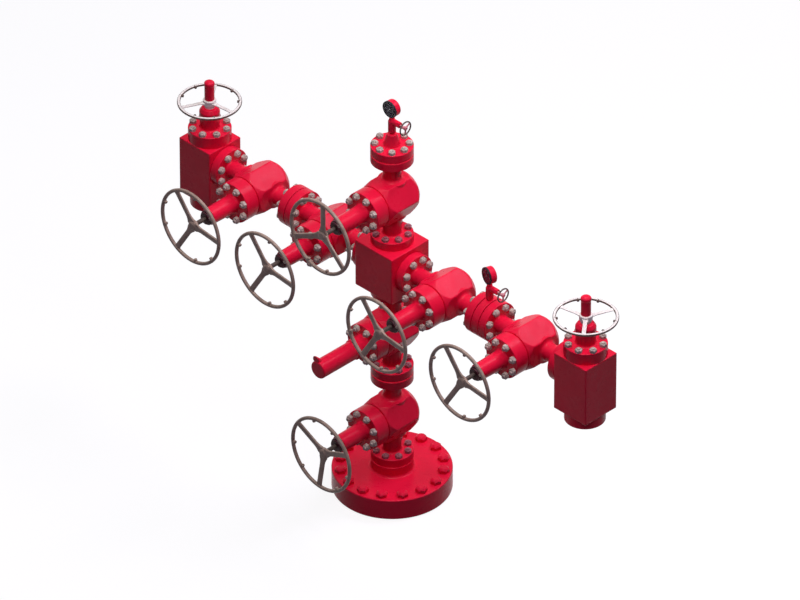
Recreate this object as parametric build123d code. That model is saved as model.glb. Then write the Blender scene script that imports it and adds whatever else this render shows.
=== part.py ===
from build123d import *
from math import asin, cos, sin
import os

# Sizes in millimetres. The origin is the centre of the base flange's underside, +Z is up,
# the wings run along X and every gate valve's stem points along -Y.

# Run flanges: one size on every joint of the run and the wings
flange_od = 232.0
flange_thickness = 51.2
flange_bevel = 3.0
raised_face_od = 132.0
raised_face_height = 3.0
stud_circle = 184.15
stud_count = 8
stud_size = 22.2
run_bore = 65.1
ring_groove_od = 102.8
ring_groove_width = 14.1
ring_groove_depth = 6.8
ring_groove_slope = 0.42

# Gate valve bodies
valve_length = 565.2
neck_od = 100.0
neck_flare = 25.0
neck_flare_fillet = 22.5
neck_root_fillet = 10.0
body_across_flats = 232.0
body_corner_radius = 6.0
body_reach_front = 130.0
body_reach_back = 82.0
body_front_bevel = 40.0
body_back_bevel = 20.0
seam_groove_depth = 4.0
seam_groove_width = 6.0
collar_od = 232.0
collar_length = 54.7

# Bonnets of the valves with a handwheel
bonnet_flange_od = 226.0
bonnet_flange_thickness = 37.0
bonnet_bevel = 3.0
bonnet_tube_root_od = 103.0
bonnet_tube_tip_od = 95.0
bonnet_tube_length = 148.3
bonnet_tube_fillet = 9.0

# Bearing caps
cap_od = 84.0
cap_length = 60.0
cap_nose_od = 70.0
cap_nose_length = 10.0
cap_bevel = 4.0
stem_clearance = 0.3
stem_seat_depth = 42.0

# Gate valve handwheels, with their stems
stem_od = 25.0
wheel_od = 450.0
wheel_rim_thickness = 20.0
rim_sides = 12
wheel_hub_od = 58.0
wheel_hub_length = 30.0
wheel_hub_reach = 515.0
wheel_dish = 20.0
wheel_spokes = 3
spoke_width = 25.0
spoke_flare_width = 44.0
spoke_flare_length = 34.0
spoke_thickness = 14.0
nub_od = 15.0
nub_height = 9.0
nubs_between_spokes = 2

# Upper master valve: closed housing in place of a handwheel
housing_bonnet_od = 125.0
housing_bonnet_length = 112.0
housing_flare = 11.0
housing_od = 103.0
housing_reach = 560.0
housing_end_bevel = 3.0
housing_lug_width = 20.0
housing_lug_height = 17.0
housing_lug_length = 14.0
housing_lug_slope = 22.0

# Base flange
base_od = 654.0
base_thickness = 127.0
base_bevel = 4.0
base_raised_face_od = 473.0
base_raised_face_height = 5.0
base_stud_circle = 565.15
base_stud_count = 16
base_stud_hole = 47.8
base_groove_od = 357.2
base_groove_width = 25.0
base_groove_depth = 14.0
base_pocket_bore = 143.0
base_pocket_depth = 100.0
base_hub_height = 62.7
base_hub_fillet = 12.0

# Cross block
cross_width = 276.0
cross_depth = 280.0
cross_above_run = 139.5
cross_below_run = 148.0
block_bevel = 4.0

# Choke valves
choke_width = 234.0
choke_above_run = 126.5
choke_below_run = 228.5
outlet_od = 222.0
outlet_length = 62.0
outlet_bore_above_run = 40.0
tapped_depth = 40.0
choke_flange_od = 236.0
choke_flange_thickness = 71.0
choke_neck_od = 122.0
choke_neck_height = 85.0
choke_collar_root_od = 108.0
choke_collar_tip_od = 82.0
choke_collar_height = 40.0
choke_neck_fillet = 10.0
choke_seat_depth = 24.0
choke_wheel_clearance = 1.0

# Choke wheels and their stem covers
choke_wheel_od = 350.0
choke_rim_thickness = 15.0
choke_hub_od = 80.0
choke_hub_height = 34.0
choke_hub_boss_od = 64.0
choke_hub_boss_height = 18.0
choke_stem_od = 40.0
choke_spoke_width = 17.0
choke_spoke_flare_width = 30.0
choke_spoke_flare_length = 22.0
choke_spoke_thickness = 9.0
choke_nub_od = 12.0
choke_nub_height = 7.0
cover_od = 59.0
cover_height = 118.0
cover_dome_height = 24.0

# Tree cap, instrument flange, needle valves and gauges
cap_hub_root_od = 104.0
cap_hub_tip_od = 58.0
cap_hub_height = 70.0
instrument_flange_thickness = 52.0
spot_face_depth = 4.0
needle_nipple_od = 24.0
needle_nipple_height = 12.0
needle_body_od = 37.0
needle_body_height = 88.0
needle_body_bevel = 3.0
needle_arm_od = 34.0
needle_arm_reach = 46.0
needle_arm_height = 80.0
needle_gland_across_flats = 30.0
needle_gland_length = 16.0
needle_stem_od = 12.0
needle_stem_seat = 10.0
needle_wheel_od = 85.0
needle_wheel_rim = 8.0
needle_wheel_reach = 100.0
needle_hub_od = 22.0
needle_hub_length = 16.0
needle_spoke_width = 9.0
needle_spoke_thickness = 6.0
gauge_od = 98.0
gauge_thickness = 46.0
gauge_bezel_width = 5.0
gauge_dial_recess = 5.0
gauge_back_bevel = 6.0
gauge_shank_od = 22.0
gauge_shank_height = 12.0
gauge_turn = -17.0

# Heights and places along the run, each from the piece before it
valve_half = valve_length / 2
base_hub_top = base_thickness + base_hub_height
lower_master_z = base_hub_top + valve_half
upper_master_z = lower_master_z + valve_length
cross_z = upper_master_z + valve_half + cross_below_run
swab_z = cross_z + cross_above_run + valve_half
tree_cap_z = swab_z + valve_half
inner_wing_x = cross_width / 2 + valve_half
left_outer_x = -inner_wing_x - valve_length
left_choke_x = left_outer_x - valve_half - choke_width / 2
instrument_x = inner_wing_x + valve_half + instrument_flange_thickness / 2
right_outer_x = instrument_x + instrument_flange_thickness / 2 + valve_half
right_choke_x = right_outer_x + valve_half + choke_width / 2
collar_front = body_reach_front + collar_length
bonnet_face = collar_front + bonnet_flange_thickness
bonnet_front = bonnet_face + bonnet_tube_length
cap_front = bonnet_front + cap_length

# Where each gate valve stands: its place, whether its run lies along X, and the angle of its
# first spoke from +X towards +Z, or None where it has no handwheel
gate_valves = {
    "lower_master": ((0, 0, lower_master_z), False, 25.5),
    "upper_master": ((0, 0, upper_master_z), False, None),
    "swab": ((0, 0, swab_z), False, 84.5),
    "left_inner": ((-inner_wing_x, 0, cross_z), True, 0.0),
    "left_outer": ((left_outer_x, 0, cross_z), True, 0.0),
    "right_inner": ((inner_wing_x, 0, cross_z), True, 0.0),
    "right_outer": ((right_outer_x, 0, cross_z), True, 0.0),
}
# The angle of each choke wheel's first spoke, from +X towards +Y
choke_valves = {"left": (left_choke_x, 5.0), "right": (right_choke_x, 70.0)}

# Turned pieces are drawn with their radius along X and their height along Y.
# These turns lay that height along each direction of the finished piece.
UP = Rot(90, 0, 0)
OUT = Rot(180, 0, 0)
RIGHT = Rot(0, 0, -90)


def profile(*corners):
    """A closed outline of (radius, height) corners. A third value rounds that corner."""
    face = make_face(Polyline(*[corner[:2] for corner in corners], close=True))
    for corner in corners:
        if len(corner) == 3:
            place = Vector(corner[0], corner[1])
            nearest = min(face.vertices(), key=lambda v: (v.center() - place).length)
            face = fillet(nearest, corner[2])
    return face


def turned(direction, *corners):
    """The outline's solid of revolution, standing along the given direction."""
    return direction * revolve(profile(*corners), Axis.Y)


def drum(direction, diameter, start, end):
    """A plain cylinder between two heights."""
    return turned(direction, (0, start), (diameter / 2, start), (diameter / 2, end), (0, end))


def ring_groove(direction, outer, width, depth, face):
    """The tapered groove of a ring gasket, to be cut into the face at this height."""
    taper = depth * ring_groove_slope
    return turned(
        direction,
        (outer / 2 - width, face),
        (outer / 2, face),
        (outer / 2 - taper, face + depth),
        (outer / 2 - width + taper, face + depth),
    )


def run_end():
    """Half a valve's run: flared neck, end flange and raised face, along +Z from the middle."""
    back = valve_half - flange_thickness
    flat = body_across_flats / 2
    rim = valve_half - raised_face_height
    return turned(
        UP,
        (0, 0),
        (neck_od / 2 + neck_flare, 0),
        (neck_od / 2 + neck_flare, flat),
        (neck_od / 2, flat, neck_flare_fillet),
        (neck_od / 2, back, neck_root_fillet),
        (flange_od / 2 - flange_bevel, back),
        (flange_od / 2, back + flange_bevel),
        (flange_od / 2, rim - flange_bevel),
        (flange_od / 2 - flange_bevel, rim),
        (raised_face_od / 2, rim),
        (raised_face_od / 2, valve_half),
        (0, valve_half),
    )


def valve_body():
    """Hexagonal body along the stem, trimmed by a cone at each end like a nut, with its run."""
    flat = body_across_flats / 2
    hexagon = RegularPolygon(flat, 6, major_radius=False)
    corner = max(v.X for v in hexagon.vertices())
    hexagon = fillet(hexagon.vertices(), body_corner_radius)
    length = body_reach_front + body_reach_back
    prism = Pos(0, body_reach_back, 0) * Rot(90, 0, 0) * extrude(hexagon, length)
    cone_trim = turned(
        OUT,
        (0, -body_reach_back),
        (flat, -body_reach_back),
        (corner, -body_reach_back + body_back_bevel),
        (corner, body_reach_front - body_front_bevel),
        (flat, body_reach_front),
        (0, body_reach_front),
    )
    seam = collar_od / 2 - seam_groove_depth
    collar = turned(
        OUT,
        (0, body_reach_front - seam_groove_width),
        (seam, body_reach_front - seam_groove_width),
        (seam, body_reach_front + seam_groove_width / 2),
        (collar_od / 2, body_reach_front + seam_groove_width),
        (collar_od / 2, collar_front - bonnet_bevel),
        (collar_od / 2 - bonnet_bevel, collar_front),
        (0, collar_front),
    )
    end = run_end()
    return (prism & cone_trim) + collar + end + Rot(180, 0, 0) * end


def bonnet():
    """Bonnet flange and tube of a handwheel valve, solid behind its bearing."""
    return turned(
        OUT,
        (0, collar_front),
        (bonnet_flange_od / 2 - bonnet_bevel, collar_front),
        (bonnet_flange_od / 2, collar_front + bonnet_bevel),
        (bonnet_flange_od / 2, bonnet_face - bonnet_bevel),
        (bonnet_flange_od / 2 - bonnet_bevel, bonnet_face),
        (bonnet_tube_root_od / 2, bonnet_face, bonnet_tube_fillet),
        (bonnet_tube_tip_od / 2, bonnet_front),
        (0, bonnet_front),
    )


def housing_bonnet():
    """Bonnet of the upper master valve, with the flared shoulder that carries its housing."""
    end = bonnet_face + housing_bonnet_length
    return turned(
        OUT,
        (0, collar_front),
        (bonnet_flange_od / 2 - bonnet_bevel, collar_front),
        (bonnet_flange_od / 2, collar_front + bonnet_bevel),
        (bonnet_flange_od / 2, bonnet_face - bonnet_bevel),
        (bonnet_flange_od / 2 - bonnet_bevel, bonnet_face),
        (housing_bonnet_od / 2, bonnet_face, bonnet_tube_fillet),
        (housing_bonnet_od / 2, end - housing_flare),
        (housing_od / 2, end),
        (0, end),
    )


def stem_housing():
    """Closed housing of the upper master valve, with the lifting lug at the top of its end."""
    start = bonnet_face + housing_bonnet_length
    barrel = turned(
        OUT,
        (0, start),
        (housing_od / 2, start),
        (housing_od / 2, housing_reach - housing_end_bevel),
        (housing_od / 2 - housing_end_bevel, housing_reach),
        (0, housing_reach),
    )
    crown = housing_od / 2
    front = housing_reach - housing_end_bevel
    lug_side = make_face(
        Plane.YZ
        * Polyline(
            (-front, crown - housing_lug_height),
            (-front, crown + housing_lug_height),
            (-front + housing_lug_length, crown + housing_lug_height),
            (-front + housing_lug_length + housing_lug_slope, crown - housing_lug_height),
            close=True,
        )
    )
    return barrel + extrude(lug_side, housing_lug_width / 2, both=True)


def bearing_cap():
    """Stepped cap on the bonnet tube, with the blind bore that the stem turns in."""
    nose = cap_front - cap_nose_length
    bore = stem_od / 2 + stem_clearance
    return turned(
        OUT,
        (0, bonnet_front),
        (cap_od / 2, bonnet_front),
        (cap_od / 2, nose - cap_bevel),
        (cap_od / 2 - cap_bevel, nose),
        (cap_nose_od / 2, nose),
        (cap_nose_od / 2, cap_front - cap_bevel),
        (cap_nose_od / 2 - cap_bevel, cap_front),
        (bore, cap_front),
        (bore, cap_front - stem_seat_depth - stem_clearance),
        (0, cap_front - stem_seat_depth - stem_clearance),
    )


def rim_and_spokes(outer, rim, count, width, flare, flare_length, thickness, hub_d, dish, nub):
    """A wheel's rim in the plane of height 0 with spokes that fall to the hub, along +Z.

    The rim is rolled from a bar of many flats. nub holds the finger nubs' diameter, their
    height and how many lie between two spokes.
    """
    centre_line = (outer - rim) / 2
    section = RegularPolygon(rim / 2, rim_sides)
    wheel = revolve(Plane.XZ * Pos(centre_line, 0) * section, Axis.Z)
    root = hub_d / 4
    start = Vector(root, 0, -dish)
    reach = Vector(centre_line, 0, 0) - start
    spoke_plane = Plane(start, x_dir=reach, z_dir=reach.cross(Vector(0, 1, 0)))
    spoke_outline = make_face(
        spoke_plane
        * Polyline(
            (0, -flare / 2),
            (hub_d / 2 - root, -flare / 2),
            (hub_d / 2 - root + flare_length, -width / 2),
            (reach.length, -width / 2),
            (reach.length, width / 2),
            (hub_d / 2 - root + flare_length, width / 2),
            (hub_d / 2 - root, flare / 2),
            (0, flare / 2),
            close=True,
        )
    )
    spoke = extrude(spoke_outline, thickness / 2, both=True)
    pitch = 360 / count
    for turn in range(count):
        wheel += Rot(0, 0, turn * pitch) * spoke
    if nub:
        nub_d, nub_height, nub_count = nub
        inner = centre_line - rim / 2 - nub_height
        peg = Plane.YZ.offset(inner) * Cylinder(
            nub_d / 2, nub_height + rim / 2, align=(Align.CENTER, Align.CENTER, Align.MIN)
        )
        for turn in range(count):
            for place in range(nub_count):
                angle = turn * pitch + (place + 1) * pitch / (nub_count + 1)
                wheel += Rot(0, 0, angle) * peg
    return wheel


def handwheel(first_spoke):
    """A gate valve's dished wheel with its hub and the stem that it turns."""
    rim_plane = wheel_hub_reach + wheel_dish
    wheel = rim_and_spokes(
        wheel_od,
        wheel_rim_thickness,
        wheel_spokes,
        spoke_width,
        spoke_flare_width,
        spoke_flare_length,
        spoke_thickness,
        wheel_hub_od,
        wheel_dish,
        (nub_od, nub_height, nubs_between_spokes),
    )
    hub_back = wheel_hub_reach - wheel_hub_length / 2
    hub = drum(OUT, wheel_hub_od, hub_back, hub_back + wheel_hub_length)
    stem = drum(OUT, stem_od, cap_front - stem_seat_depth, hub_back)
    facing = Pos(0, -rim_plane, 0) * Rot(90, 0, 0) * wheel
    return Rot(0, -first_spoke, 0) * (facing + hub + stem)


def base_flange():
    """Base flange with its hub, ring groove, hanger-neck pocket and stud holes."""
    hub = flange_od / 2
    plate = turned(
        UP,
        (0, 0),
        (base_raised_face_od / 2, 0),
        (base_raised_face_od / 2, base_raised_face_height),
        (base_od / 2 - base_bevel, base_raised_face_height),
        (base_od / 2, base_raised_face_height + base_bevel),
        (base_od / 2, base_thickness - base_bevel),
        (base_od / 2 - base_bevel, base_thickness),
        (hub, base_thickness, base_hub_fillet),
        (hub, base_hub_top - flange_bevel),
        (hub - flange_bevel, base_hub_top),
        (0, base_hub_top),
    )
    plate -= drum(UP, base_pocket_bore, 0, base_pocket_depth)
    plate -= drum(UP, run_bore, base_pocket_depth, base_hub_top)
    plate -= ring_groove(UP, base_groove_od, base_groove_width, base_groove_depth, 0)
    hole = drum(UP, base_stud_hole, 0, base_thickness)
    for place in range(base_stud_count):
        turn = (place + 0.5) * 360 / base_stud_count
        plate -= Rot(0, 0, turn) * Pos(base_stud_circle / 2, 0, 0) * hole
    return plate


def block(width, depth, bottom, top):
    """A bevelled forging between two heights."""
    body = Pos(0, 0, (bottom + top) / 2) * Box(width, depth, top - bottom)
    return chamfer(body.edges(), block_bevel)


def choke_body():
    """Square block around the wing's axis, with the open outlet and its stud holes below."""
    foot = -choke_below_run
    mouth = foot - outlet_length
    body = block(choke_width, choke_width, foot, choke_above_run)
    body += drum(UP, outlet_od, mouth, foot)
    body -= drum(UP, run_bore, mouth, outlet_bore_above_run)
    body -= ring_groove(UP, ring_groove_od, ring_groove_width, ring_groove_depth, mouth)
    tapped = drum(UP, stud_size, mouth, mouth + tapped_depth)
    for place in range(stud_count):
        turn = (place + 0.5) * 360 / stud_count
        body -= Rot(0, 0, turn) * Pos(stud_circle / 2, 0, 0) * tapped
    return body


choke_flange_top = choke_above_run + choke_flange_thickness
choke_neck_top = choke_flange_top + choke_neck_height
choke_collar_top = choke_neck_top + choke_collar_height


def choke_bonnet():
    """Choke bonnet: flange, neck and the conical collar, with the bore that the hub turns in."""
    neck = choke_neck_od / 2
    seat = choke_stem_od / 2 + stem_clearance
    return turned(
        UP,
        (0, choke_above_run),
        (choke_flange_od / 2 - bonnet_bevel, choke_above_run),
        (choke_flange_od / 2, choke_above_run + bonnet_bevel),
        (choke_flange_od / 2, choke_flange_top - bonnet_bevel),
        (choke_flange_od / 2 - bonnet_bevel, choke_flange_top),
        (neck, choke_flange_top, choke_neck_fillet),
        (neck, choke_neck_top - bonnet_bevel),
        (neck - bonnet_bevel, choke_neck_top),
        (choke_collar_root_od / 2, choke_neck_top),
        (choke_collar_tip_od / 2, choke_collar_top),
        (seat, choke_collar_top),
        (seat, choke_collar_top - choke_seat_depth),
        (0, choke_collar_top - choke_seat_depth),
    )


choke_hub_bottom = choke_collar_top + choke_wheel_clearance
choke_hub_top = choke_hub_bottom + choke_hub_boss_height + choke_hub_height


def choke_wheel(first_spoke):
    """Horizontal choke wheel, its hub standing on a boss, with the stem that it drives."""
    boss_top = choke_hub_bottom + choke_hub_boss_height
    middle = boss_top + choke_hub_height / 2
    wheel = rim_and_spokes(
        choke_wheel_od,
        choke_rim_thickness,
        wheel_spokes,
        choke_spoke_width,
        choke_spoke_flare_width,
        choke_spoke_flare_length,
        choke_spoke_thickness,
        choke_hub_od,
        0,
        (choke_nub_od, choke_nub_height, nubs_between_spokes),
    )
    hub = turned(
        UP,
        (0, choke_hub_bottom),
        (choke_hub_boss_od / 2, choke_hub_bottom),
        (choke_hub_boss_od / 2, boss_top),
        (choke_hub_od / 2, boss_top),
        (choke_hub_od / 2, choke_hub_top - bonnet_bevel),
        (choke_hub_od / 2 - bonnet_bevel, choke_hub_top),
        (0, choke_hub_top),
    )
    stem_foot = choke_collar_top - choke_seat_depth + choke_wheel_clearance
    stem = drum(UP, choke_stem_od, stem_foot, choke_hub_bottom)
    return Rot(0, 0, first_spoke) * (Pos(0, 0, middle) * wheel + hub + stem)


def stem_cover():
    """Domed cover of the rising stem, standing on the wheel's hub and turning with it."""
    radius = cover_od / 2
    top = choke_hub_top + cover_height
    shoulder = top - cover_dome_height
    sphere = (radius**2 + cover_dome_height**2) / (2 * cover_dome_height)
    half_turn = asin(radius / sphere) / 2
    haunch = (sphere * sin(half_turn), top - sphere * (1 - cos(half_turn)))
    side = Line((radius, choke_hub_top), (radius, shoulder))
    dome = ThreePointArc((radius, shoulder), haunch, (0, top))
    axis = Line((0, top), (0, choke_hub_top))
    foot = Line((0, choke_hub_top), (radius, choke_hub_top))
    return UP * revolve(make_face([side, dome, axis, foot]), Axis.Y)


def cap_flange(thickness):
    """A blind or spacer flange of the run family with a raised face below, from height 0."""
    return turned(
        UP,
        (0, 0),
        (raised_face_od / 2, 0),
        (raised_face_od / 2, raised_face_height),
        (flange_od / 2 - flange_bevel, raised_face_height),
        (flange_od / 2, raised_face_height + flange_bevel),
        (flange_od / 2, thickness - flange_bevel),
        (flange_od / 2 - flange_bevel, thickness),
        (0, thickness),
    )


def tree_cap():
    """Top flange with the sloping hub that the needle valve screws into."""
    top = flange_thickness + cap_hub_height
    hub = turned(
        UP,
        (0, flange_thickness - flange_bevel),
        (cap_hub_root_od / 2, flange_thickness - flange_bevel),
        (cap_hub_root_od / 2, flange_thickness),
        (cap_hub_tip_od / 2, top - needle_body_bevel),
        (cap_hub_tip_od / 2 - needle_body_bevel, top),
        (0, top),
    )
    return cap_flange(flange_thickness) + hub


spot_face_height = flange_od / 2 - spot_face_depth


def instrument_flange():
    """Spacer flange in the right wing, spot-faced on top of its rim for the needle valve."""
    half = instrument_flange_thickness / 2
    rim = half - raised_face_height
    disc = turned(
        RIGHT,
        (0, -half),
        (raised_face_od / 2, -half),
        (raised_face_od / 2, -rim),
        (flange_od / 2 - flange_bevel, -rim),
        (flange_od / 2, -rim + flange_bevel),
        (flange_od / 2, rim - flange_bevel),
        (flange_od / 2 - flange_bevel, rim),
        (raised_face_od / 2, rim),
        (raised_face_od / 2, half),
        (0, half),
    )
    return disc - Pos(0, 0, spot_face_height) * drum(UP, needle_body_od, 0, flange_od)


def needle_valve():
    """Needle valve standing on its nipple, with its side arm and gland nut along +X."""
    top = needle_nipple_height + needle_body_height
    seat = needle_stem_od / 2 + stem_clearance
    gland_end = needle_arm_reach + needle_gland_length
    body = turned(
        UP,
        (0, 0),
        (needle_nipple_od / 2, 0),
        (needle_nipple_od / 2, needle_nipple_height),
        (needle_body_od / 2 - needle_body_bevel, needle_nipple_height),
        (needle_body_od / 2, needle_nipple_height + needle_body_bevel),
        (needle_body_od / 2, top - needle_body_bevel),
        (needle_body_od / 2 - needle_body_bevel, top),
        (0, top),
    )
    arm = drum(RIGHT, needle_arm_od, 0, needle_arm_reach)
    nut_outline = RegularPolygon(needle_gland_across_flats / 2, 6, major_radius=False)
    nut = Pos(needle_arm_reach, 0, 0) * Rot(0, 90, 0) * extrude(nut_outline, needle_gland_length)
    bore = drum(RIGHT, 2 * seat, gland_end - needle_stem_seat - stem_clearance, gland_end)
    return body + Pos(0, 0, needle_arm_height) * (arm + nut - bore)


def needle_wheel():
    """Small wheel of a needle valve, with its hub and stem, around the side arm's axis."""
    wheel = rim_and_spokes(
        needle_wheel_od,
        needle_wheel_rim,
        wheel_spokes,
        needle_spoke_width,
        needle_spoke_width,
        needle_spoke_width,
        needle_spoke_thickness,
        needle_hub_od,
        0,
        None,
    )
    stem_start = needle_arm_reach + needle_gland_length - needle_stem_seat
    half_hub = needle_hub_length / 2
    hub = drum(RIGHT, needle_hub_od, needle_wheel_reach - half_hub, needle_wheel_reach + half_hub)
    stem = drum(RIGHT, needle_stem_od, stem_start, needle_wheel_reach)
    facing = Pos(needle_wheel_reach, 0, 0) * Rot(0, 90, 0) * wheel
    return Pos(0, 0, needle_arm_height) * (facing + hub + stem)


def gauge():
    """Pressure gauge on its shank, with the recessed dial facing -Y, from height 0."""
    half = gauge_thickness / 2
    radius = gauge_od / 2
    centre = gauge_shank_height + radius
    case = turned(
        OUT,
        (0, -half),
        (radius - gauge_back_bevel, -half),
        (radius, -half + gauge_back_bevel),
        (radius, half),
        (radius - gauge_bezel_width, half),
        (radius - gauge_bezel_width, half - gauge_dial_recess),
        (0, half - gauge_dial_recess),
    )
    return Pos(0, 0, centre) * case + drum(UP, gauge_shank_od, 0, centre - radius / 2)


def save(node, solid):
    """Writes one piece under its node's name."""
    export_step(solid, os.path.join("parts", node + ".step"))


os.makedirs("parts", exist_ok=True)
save("base_flange", base_flange())

valve_shape = valve_body()
bonnet_shape = bonnet()
bearing_cap_shape = bearing_cap()
for name, (place, along_x, first_spoke) in gate_valves.items():
    lying = Rot(0, 90, 0) if along_x else Rot(0, 0, 0)
    save(name + "_valve_body", Pos(*place) * lying * valve_shape)
    if first_spoke is None:
        save(name + "_bonnet", Pos(*place) * housing_bonnet())
        save(name + "_stem_housing", Pos(*place) * stem_housing())
    else:
        save(name + "_bonnet", Pos(*place) * bonnet_shape)
        save(name + "_bearing_cap", Pos(*place) * bearing_cap_shape)
        save(name + "_handwheel", Pos(*place) * handwheel(first_spoke))

cross = block(cross_width, cross_depth, -cross_below_run, cross_above_run)
save("cross_block", Pos(0, 0, cross_z) * cross)

for side, (across, first_spoke) in choke_valves.items():
    place = Pos(across, 0, cross_z)
    save(side + "_choke_body", place * choke_body())
    save(side + "_choke_bonnet", place * choke_bonnet())
    save(side + "_choke_wheel", place * choke_wheel(first_spoke))
    save(side + "_choke_stem_cover", place * stem_cover())

save("tree_cap_flange", Pos(0, 0, tree_cap_z) * tree_cap())
save("instrument_flange", Pos(instrument_x, 0, cross_z) * instrument_flange())

# The needle valve and gauge on the tree cap and on the instrument flange: where each set
# stands, and how far its gauge is turned about the vertical
instrument_sets = {
    "top": (Pos(0, 0, tree_cap_z + flange_thickness + cap_hub_height), 0.0),
    "wing": (Pos(instrument_x, 0, cross_z + spot_face_height), gauge_turn),
}
for name, (seat, turn) in instrument_sets.items():
    save(name + "_needle_valve", seat * needle_valve())
    save(name + "_needle_wheel", seat * needle_wheel())
    shank_seat = Pos(0, 0, needle_nipple_height + needle_body_height)
    save(name + "_gauge", seat * shank_seat * Rot(0, 0, turn) * gauge())
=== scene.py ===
# %% [markdown]
# An oil wellhead valve stack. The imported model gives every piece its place: this script opens
# it as a fixed frame, works each visible surface out with numpy in the same metres, and gives
# it a painted or metal finish. The origin is the middle of the base flange's underside, +Z is
# up, the wings run along X and the gate valves' stems point along -Y.

import bmesh
import bpy
import numpy as np
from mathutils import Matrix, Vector


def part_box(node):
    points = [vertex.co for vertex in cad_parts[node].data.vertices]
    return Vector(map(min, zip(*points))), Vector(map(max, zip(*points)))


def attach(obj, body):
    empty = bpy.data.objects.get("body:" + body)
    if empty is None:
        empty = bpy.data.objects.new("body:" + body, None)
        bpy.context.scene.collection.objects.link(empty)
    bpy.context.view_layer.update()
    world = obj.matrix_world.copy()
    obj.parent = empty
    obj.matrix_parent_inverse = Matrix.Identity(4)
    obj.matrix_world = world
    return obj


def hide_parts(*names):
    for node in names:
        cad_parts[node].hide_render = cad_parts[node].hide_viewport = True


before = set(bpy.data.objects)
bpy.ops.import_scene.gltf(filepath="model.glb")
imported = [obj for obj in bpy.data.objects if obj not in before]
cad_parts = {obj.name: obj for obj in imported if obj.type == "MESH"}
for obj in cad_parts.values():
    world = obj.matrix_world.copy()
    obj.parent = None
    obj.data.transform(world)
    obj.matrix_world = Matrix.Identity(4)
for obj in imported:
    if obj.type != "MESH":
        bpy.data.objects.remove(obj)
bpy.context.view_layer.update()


# %% [markdown]
# Almost everything here was turned on a lathe or forged in a die, so one kind of surface does
# for most of it: a line of radius and height that is carried round an axis. Real edges are
# never perfectly sharp, so the line has small arcs at its corners, which catch the light. A
# bevel modifier could do this too, but the arcs are exact.

# %% Lines with rounded corners
EDGE_ROUND = 0.002
ARC_STEPS = 4
# The most of a run that one arc may take, and the longest flat strip beside an arc
ARC_SHARE, LONGEST_HOLD = 0.46, 0.0008


def length_of(vectors):
    """Lengths along the last axis, never zero."""
    return np.maximum(np.linalg.norm(vectors, axis=-1, keepdims=True), 1e-9)


def rounded(corners, columns, sharp=False):
    """A line through (radius, height) corners, with an arc in place of each inner corner.

    A corner's radius and height are numbers, or arrays with one value for each column of the
    surface. Its third value is the arc's radius a. At a corner whose runs meet at the angle c
    the arc starts a / tan(c / 2) away, its centre lies a / sin(c / 2) along the bisector, and
    its points swing from one end radius to the other in equal steps of angle. One more point
    on each side of an arc keeps the shading of the flats flat. A sharp line has no arcs.
    """
    ones = np.ones(columns)
    points = np.array([[corner[0] * ones, corner[1] * ones] for corner in corners])
    points = points.transpose(0, 2, 1)
    if sharp:
        return points
    line = [points[0]]
    for i in range(1, len(corners) - 1):
        radius = corners[i][2] if len(corners[i]) == 3 else EDGE_ROUND
        here = points[i]
        run_in, run_out = points[i - 1] - here, points[i + 1] - here
        room = ARC_SHARE * np.minimum(length_of(run_in), length_of(run_out))
        before, after = run_in / length_of(run_in), run_out / length_of(run_out)
        angle = np.arccos(np.clip((before * after).sum(-1, keepdims=True), -1, 1))
        angle = np.clip(angle, 0.02, np.pi - 0.0001)
        back = np.minimum(radius / np.tan(angle / 2), room)
        bisector = (before + after) / length_of(before + after)
        centre = here + bisector * back / np.cos(angle / 2)
        start, end = here + before * back, here + after * back
        sweep = np.pi - angle
        hold = np.minimum(0.25 * (room - back) + 0.05 * back, LONGEST_HOLD)
        line.append(start + before * hold)
        for t in np.linspace(0, 1, ARC_STEPS + 1):
            swing = (start - centre) * np.sin((1 - t) * sweep) + (end - centre) * np.sin(t * sweep)
            line.append(centre + swing / np.sin(sweep))
        line.append(end + after * hold)
    line.append(points[-1])
    return np.array(line)


# %% Surfaces that carry a line round an axis
def full_turn(columns):
    return np.linspace(0, 2 * np.pi, columns, endpoint=False)


ROUND, SMALL_ROUND, WIDE_ROUND = full_turn(96), full_turn(40), full_turn(160)


def quads(rows, columns):
    """Faces between neighbouring rows of a grid whose last column meets its first."""
    row, column = np.meshgrid(np.arange(rows - 1), np.arange(columns), indexing="ij")
    side = (column + 1) % columns
    corners = [row * columns + column, row * columns + side]
    corners += [(row + 1) * columns + side, (row + 1) * columns + column]
    return np.stack(corners, -1).reshape(-1, 4)


def lathe(corners, angles=ROUND, capped=True, sharp=False):
    """x = r cos a, y = r sin a, z = h, for each (r, h) of the line and each angle a.

    A capped line has both its ends carried straight in to the axis, which closes the surface.
    """
    if capped:
        corners = [(0, corners[0][1]), *corners, (0, corners[-1][1])]
    line = rounded(corners, len(angles), sharp)
    radius, height = line[..., 0], line[..., 1]
    points = np.stack([radius * np.cos(angles), radius * np.sin(angles), height], -1)
    return points.reshape(-1, 3), quads(len(line), len(angles))


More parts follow.
